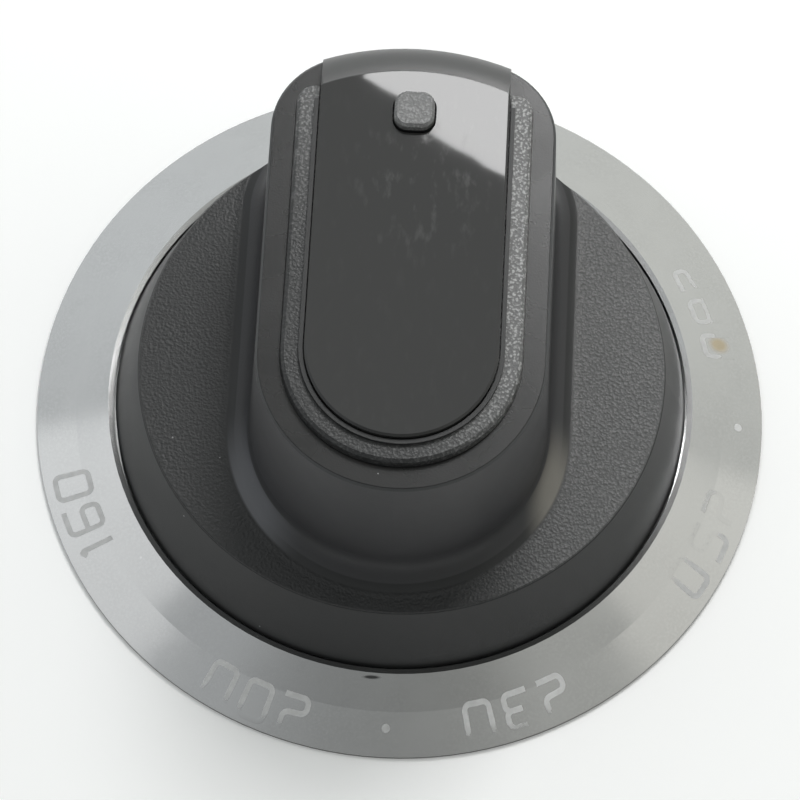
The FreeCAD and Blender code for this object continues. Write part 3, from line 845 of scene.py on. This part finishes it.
@dataclass
class DialSkirt:
    """Silver dial skirt with its printed scale."""

    lip: Point = (22.0 * MM, 3.0 * MM)
    crease: Point = (24.5 * MM, 1.7 * MM)
    rim: Point = (27.5 * MM, 0.35 * MM)
    middle_radius: float = 25.4 * MM
    stroke: float = 0.2 * MM
    film: float = 0.02
    weld: float = 0.001 * MM
    edge_wear: float = 0.35
    corner: float = 0.42 * MM
    corner_pull: float = 0.55
    curve_steps: int = 8
    round_steps: int = 2
    lean_160: float = math.tan(math.radians(8.0))
    dot_radius: float = 0.3 * MM
    dot_segments: tuple[int, int] = (24, 12)
    dot_places: tuple[tuple[str, float, float], ...] = (
        ("scale_dot_180", 179.5, 0.42), ("scale_dot_90", 90.6, 0.2))
    dot_ring: float = 25.6 * MM

    def numbers(self) -> tuple[ScaleNumber, ...]:
        """Lists the scale's numbers with their wear.

        Returns:
            The numbers, clockwise from the pointer.
        """
        whole = Wear()
        worn_top = Wear(1.6, 2.7)
        low_half = Wear(1.3, 1.75, 0.34, 1.0)
        return (
            ScaleNumber("scale_280", (
                Figure(Glyph.TWO, 61.7, low_half), Figure(Glyph.EIGHT, 68.3, low_half),
                Figure(Glyph.OPEN_NOUGHT, 75.4, Wear(0.9, 1.7, 0.1, 1.0))), 23.4 * MM, Ink.DULL),
            ScaleNumber("scale_250", (
                Figure(Glyph.TWO, 105.9, Wear(0.5, 0.95, 0.5, 1.0)),
                Figure(Glyph.FIVE, 112.4, Wear(2.3, 1.6, 0.25, 0.8)),
                Figure(Glyph.NOUGHT, 119.6, Wear(1.4, 0.3, 0.0, 0.8))), 24.0 * MM, Ink.DULL),
            ScaleNumber("scale_230", (
                Figure(Glyph.TWO, 150.9, worn_top), Figure(Glyph.THREE, 157.3, Wear(1.7, 3.1)),
                Figure(Glyph.OPEN_NOUGHT, 164.1, worn_top)), 24.2 * MM, Ink.PALE),
            ScaleNumber("scale_200", (
                Figure(Glyph.TWO, 194.9, worn_top), Figure(Glyph.NOUGHT, 201.4, Wear(1.8, 2.6)),
                Figure(Glyph.OPEN_NOUGHT, 208.1, worn_top)), 24.3 * MM, Ink.PALE),
            ScaleNumber("scale_160", (
                Figure(Glyph.ONE, 239.9, whole), Figure(Glyph.SIX, 245.1, whole),
                Figure(Glyph.NOUGHT, 251.5, whole)), 23.95 * MM, Ink.DULL, self.lean_160),
        )

    def height(self, radius: float) -> float:
        """Gives the skirt's height.

        Args:
            radius: Metres from the axis.

        Returns:
            Metres above the panel, on the two cones.
        """
        inner, outer = (self.lip, self.crease) if radius < self.crease[0] else (self.crease, self.rim)
        share = (radius - inner[0]) / (outer[0] - inner[0])
        return inner[1] + share * (outer[1] - inner[1])

    def stroke_spline(self, curve: bpy.types.Curve, points: tuple[Point, ...]) -> None:
        """Draws one stroke with rounded corners.

        Args:
            curve: The curve that takes it.
            points: Its corners in millimetres.
        """
        corners = [Vector((x, y, 0.0)) * MM for x, y in points]
        stops = [(corners[0], corners[0], corners[0])]
        for before, corner, after in zip(corners, corners[1:], corners[2:]):
            back, ahead = before - corner, after - corner
            entry = corner + back.normalized() * min(self.corner, back.length / 2)
            leave = corner + ahead.normalized() * min(self.corner, ahead.length / 2)
            stops.append((entry, entry, entry.lerp(corner, self.corner_pull)))
            stops.append((leave, leave.lerp(corner, self.corner_pull), leave))
        stops.append((corners[-1], corners[-1], corners[-1]))
        spline = curve.splines.new("BEZIER")
        spline.bezier_points.add(len(stops) - 1)
        for knot, (place, left, right) in zip(spline.bezier_points, stops):
            knot.handle_left_type = knot.handle_right_type = "FREE"
            knot.co, knot.handle_left, knot.handle_right = place, left, right

    def figure_mesh(self, figure: Figure) -> bpy.types.Mesh:
        """Makes one figure flat on the plane.

        Args:
            figure: The figure.

        Returns:
            Its strokes as a mesh, in metres, feet on the X axis.
        """
        curve = bpy.data.curves.new("figure_strokes", "CURVE")
        curve.dimensions = "3D"
        curve.resolution_u = self.curve_steps
        curve.bevel_depth = self.stroke
        curve.bevel_resolution = self.round_steps
        curve.use_fill_caps = True
        for points in figure.glyph.value:
            self.stroke_spline(curve, points)
        holder = bpy.data.objects.new("figure_strokes", curve)
        mesh = bpy.data.meshes.new_from_object(holder)
        bpy.data.objects.remove(holder)
        bpy.data.curves.remove(curve)
        return mesh

    def wrap(self, shape: bmesh.types.BMesh, angle: float, foot: float, slant: float) -> None:
        """Lays a flat shape on the skirt.

        Args:
            shape: The shape, flat on the plane.
            angle: Degrees clockwise from the pointer to its middle.
            foot: Radius of its foot.
            slant: Sideways lean for each unit of height.
        """
        for vertex in shape.verts:
            x, y, z = vertex.co
            turn = angle + math.degrees((x + slant * y) / self.middle_radius)
            radius = foot + y
            vertex.co = dial_place(turn, radius, self.height(radius) + z * self.film)

    def print_piece(self, name: str, shape: bmesh.types.BMesh,
                    ink: bpy.types.Material) -> bpy.types.Object:
        """Turns a wrapped shape into a piece on the skirt.

        Args:
            name: The piece's name.
            shape: The shape, which is freed.
            ink: Its material.

        Returns:
            The piece.
        """
        mesh = bpy.data.meshes.new(name)
        bmesh.ops.remove_doubles(shape, verts=shape.verts, dist=self.weld)
        bmesh.ops.recalc_face_normals(shape, faces=shape.faces)
        for face in shape.faces:
            face.smooth = False
        shape.to_mesh(mesh)
        shape.free()
        mesh.materials.append(ink)
        piece = bpy.data.objects.new(name, mesh)
        bpy.context.scene.collection.objects.link(piece)
        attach(piece, BODY)
        return piece

    def build_number(self, number: ScaleNumber, ink: bpy.types.Material) -> bpy.types.Object:
        """Prints one number.

        Args:
            number: The number.
            ink: Its material.

        Returns:
            The piece.
        """
        whole = bmesh.new()
        for figure in number.figures:
            mesh = self.figure_mesh(figure)
            flat = bmesh.new()
            flat.from_mesh(mesh)
            layer = flat.verts.layers.float.new(PRINT_WEAR)
            for vertex in flat.verts:
                rim = 1.0 - abs(vertex.co.z) / self.stroke
                vertex[layer] = figure.wear.at(vertex.co.y / MM) + self.edge_wear * rim
            self.wrap(flat, figure.angle, number.foot, number.slant)
            flat.to_mesh(mesh)
            flat.free()
            whole.from_mesh(mesh)
            bpy.data.meshes.remove(mesh)
        return self.print_piece(number.name, whole, ink)

    def build_dot(self, name: str, angle: float, wear: float,
                  ink: bpy.types.Material) -> bpy.types.Object:
        """Prints one dot between two numbers.

        Args:
            name: The piece's name.
            angle: Degrees clockwise from the pointer.
            wear: How far it has worn off.
            ink: Its material.

        Returns:
            The piece.
        """
        shape = bmesh.new()
        around, down = self.dot_segments
        bmesh.ops.create_uvsphere(shape, u_segments=around, v_segments=down, radius=self.dot_radius)
        layer = shape.verts.layers.float.new(PRINT_WEAR)
        for vertex in shape.verts:
            vertex[layer] = wear
        self.wrap(shape, angle, self.dot_ring, 0.0)
        return self.print_piece(name, shape, ink)

    def dress(self, effects: EffectRack) -> None:
        """Gives the skirt its lacquer and prints the scale on it.

        Args:
            effects: Shared effects.
        """
        dress_node("dial_skirt", SilverCoat().material(effects))
        inks = {ink: ScalePrint(ink).material(effects) for ink in Ink}
        pieces = [self.build_number(number, inks[number.ink]) for number in self.numbers()]
        pieces += [self.build_dot(*place, inks[Ink.PALE]) for place in self.dot_places]
        for piece in pieces:
            LOG.info("printed %s with %d faces", piece.name, len(piece.data.polygons))


@dataclass
class KnobBody:
    """Black moulding with the plinth, the grip, the rail and the nub."""

    node: str = "knob_body"

    def dress(self, effects: EffectRack) -> None:
        """Gives the moulding its finish."""
        dress_node(self.node, BlackMoulding().material(effects))


@dataclass
class GripInlay:
    """Glossy inlay on the grip."""

    node: str = "grip_plate"

    def dress(self, effects: EffectRack) -> None:
        """Gives the inlay its finish."""
        dress_node(self.node, GlossInlay().material(effects))


@dataclass
class BossRing:
    """Spring ring round the split boss."""

    node: str = "boss_ring"

    def dress(self, effects: EffectRack) -> None:
        """Gives the ring its finish."""
        dress_node(self.node, SpringSteel().material(effects))


def dress_node(name: str, material: bpy.types.Material) -> None:
    """Puts a material on a solid of the part.

    Args:
        name: The node's name.
        material: Its material.
    """
    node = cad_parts[name]
    for slot in node.material_slots:
        slot.material = material
    LOG.info("dressed %s in %s", name, material.name)


@dataclass(frozen=True)
class LightPanel:
    """One soft panel lamp.

    Args:
        name: The lamp's name.
        toward: Direction from the knob to the panel.
        size: Width and height in metres.
        spin: Degrees that it is turned about its own axis.
        radiance: Its brightness, where 1 shows as white.
        distance: Metres from the knob.
        hue: Its tint.
        shift: How far it is slid along its own width and height, in metres.
    """

    name: str
    toward: Triple
    size: Point
    spin: float
    radiance: float
    distance: float = 0.8
    hue: Triple = (1.0, 1.0, 1.0)
    shift: Point = (0.0, 0.0)

    def build(self) -> bpy.types.Object:
        """Hangs the lamp.

        Returns:
            The lamp, facing the knob.
        """
        lamp = bpy.data.lights.new(self.name, "AREA")
        lamp.shape = "RECTANGLE"
        lamp.size, lamp.size_y = self.size
        lamp.energy = self.radiance * math.pi * self.size[0] * self.size[1]
        lamp.color = self.hue
        holder = bpy.data.objects.new(self.name, lamp)
        away = Vector(self.toward).normalized()
        turn = away.to_track_quat("Z", "Y").to_matrix().to_4x4()
        spin = Matrix.Rotation(math.radians(self.spin), 4, "Z")
        slide = Matrix.Translation((*self.shift, 0.0))
        holder.matrix_world = Matrix.Translation(away * self.distance) @ turn @ spin @ slide
        holder.visible_camera = False
        bpy.context.scene.collection.objects.link(holder)
        return holder


@dataclass
class Studio:
    """White paper, soft panels and the camera at the photograph's place."""

    target: Triple = (-0.065 * MM, 1.309 * MM, -0.55 * MM)
    distance: float = 284.8 * MM
    elevation: float = math.radians(66.636)
    azimuth: float = math.radians(0.81)
    roll: float = math.radians(2.256)
    lens: float = 167.92
    sensor: float = 36.0
    nearest: float = 0.01
    paper_radius: float = 4.0
    paper_segments: int = 96
    paper_gap: float = 0.02 * MM
    camera_side: Triple = (0.0, -0.88, 0.475)
    shade_edges: Point = (0.72, 0.9)
    camera_shade: float = 0.58
    depth_edges: Point = (-0.3, 0.8)
    front_level: float = 0.52
    rear_level: float = 0.82
    hue_edges: Point = (-0.6, 0.6)
    left_hue: Colour = (0.96, 1.0, 1.01, 1.0)
    right_hue: Colour = (0.99, 1.01, 0.96, 1.0)
    panels: tuple[LightPanel, ...] = (
        LightPanel("key_panel", KEY_SIDE, (0.0755, 0.0837), KEY_SPIN, KEY_RADIANCE, KEY_DISTANCE,
                   shift=(-0.00425, -0.00015)),
        LightPanel("key_strip", KEY_SIDE, (0.0079, 0.0822), KEY_SPIN, KEY_RADIANCE, KEY_DISTANCE,
                   shift=(0.03745, -0.0009)),
        LightPanel("window_panel", (-0.7, 0.01, 0.71), (0.49, 0.46), 0.0, 0.4),
        LightPanel("top_panel", (0.0, 0.4, 0.92), (0.6, 0.45), 0.0, 0.12),
        LightPanel("right_panel", (0.69, 0.01, 0.72), (0.42, 0.42), 0.0, 0.27, hue=(1.0, 0.97, 0.9)),
    )

    def build_camera(self) -> bpy.types.Object:
        """Sets up the camera.

        Returns:
            The camera, made the scene's own.
        """
        flat, rise = math.cos(self.elevation), math.sin(self.elevation)
        right = Vector((math.cos(self.azimuth), math.sin(self.azimuth), 0.0))
        gaze = Vector((-math.sin(self.azimuth) * flat, math.cos(self.azimuth) * flat, -rise))
        level_up = right.cross(gaze)
        lean, upright = math.sin(self.roll), math.cos(self.roll)
        axes = (upright * right + lean * level_up, upright * level_up - lean * right, -gaze)
        turn = Matrix(axes).transposed().to_4x4()
        lens = bpy.data.cameras.new("photo_camera")
        lens.lens = self.lens
        lens.sensor_width = self.sensor
        lens.clip_start = self.nearest
        camera = bpy.data.objects.new("photo_camera", lens)
        camera.matrix_world = Matrix.Translation(Vector(self.target) - self.distance * gaze) @ turn
        bpy.context.scene.collection.objects.link(camera)
        bpy.context.scene.camera = camera
        return camera

    def build_paper(self, effects: EffectRack) -> bpy.types.Object:
        """Lays the paper under the knob.

        Args:
            effects: Shared effects.

        Returns:
            The paper.
        """
        shape = bmesh.new()
        lowered = Matrix.Translation((0.0, 0.0, -self.paper_gap))
        bmesh.ops.create_circle(shape, cap_ends=True, segments=self.paper_segments,
                                radius=self.paper_radius, matrix=lowered)
        mesh = bpy.data.meshes.new("studio_paper")
        shape.to_mesh(mesh)
        shape.free()
        mesh.materials.append(StudioPaper().material(effects))
        paper = bpy.data.objects.new("studio_paper", mesh)
        bpy.context.scene.collection.objects.link(paper)
        return paper

    def build_world(self) -> bpy.types.World:
        """Lights the room softly, darker on the camera's side.

        Returns:
            The world, made the scene's own.
        """
        world = bpy.data.worlds.new("soft_room")
        world.use_nodes = True
        sheet = NodeSheet(world.node_tree)
        toward = sheet.put("ShaderNodeTexCoord").outputs["Generated"]
        rightward, rearward, _ = sheet.put("ShaderNodeSeparateXYZ", {0: toward}).outputs
        facing = sheet.put("ShaderNodeVectorMath", {0: toward, 1: self.camera_side},
                           operation="DOT_PRODUCT").outputs["Value"]
        shade = sheet.rise(facing, *self.shade_edges, 1.0, self.camera_shade)
        depth = sheet.rise(rearward, *self.depth_edges, self.front_level, self.rear_level)
        level = sheet.math("MULTIPLY", depth, shade)
        hue = sheet.tint(sheet.rise(rightward, *self.hue_edges), self.left_hue, self.right_hue)
        backdrop = sheet.put("ShaderNodeBackground", {"Color": hue, "Strength": level})
        sheet.put("ShaderNodeOutputWorld", {"Surface": backdrop.outputs[0]})
        bpy.context.scene.world = world
        return world

    def build(self, effects: EffectRack) -> None:
        """Builds the whole studio.

        Args:
            effects: Shared effects.
        """
        bpy.context.scene.view_settings.view_transform = "Standard"
        for thing in (self.build_camera(), self.build_paper(effects), self.build_world()):
            LOG.info("set up %s", thing.name)
        for panel in self.panels:
            LOG.info("hung %s", panel.build().name)


def main() -> None:
    """Dresses the knob, prints its scale and sets up the studio."""
    logging.basicConfig(level=logging.INFO, format="%(name)s: %(message)s")
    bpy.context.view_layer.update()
    effects = EffectRack()
    Studio().build(effects)
    for assembly in (KnobBody(), DialSkirt(), GripInlay(), BossRing()):
        assembly.dress(effects)


if __name__ == "__main__":
    main()
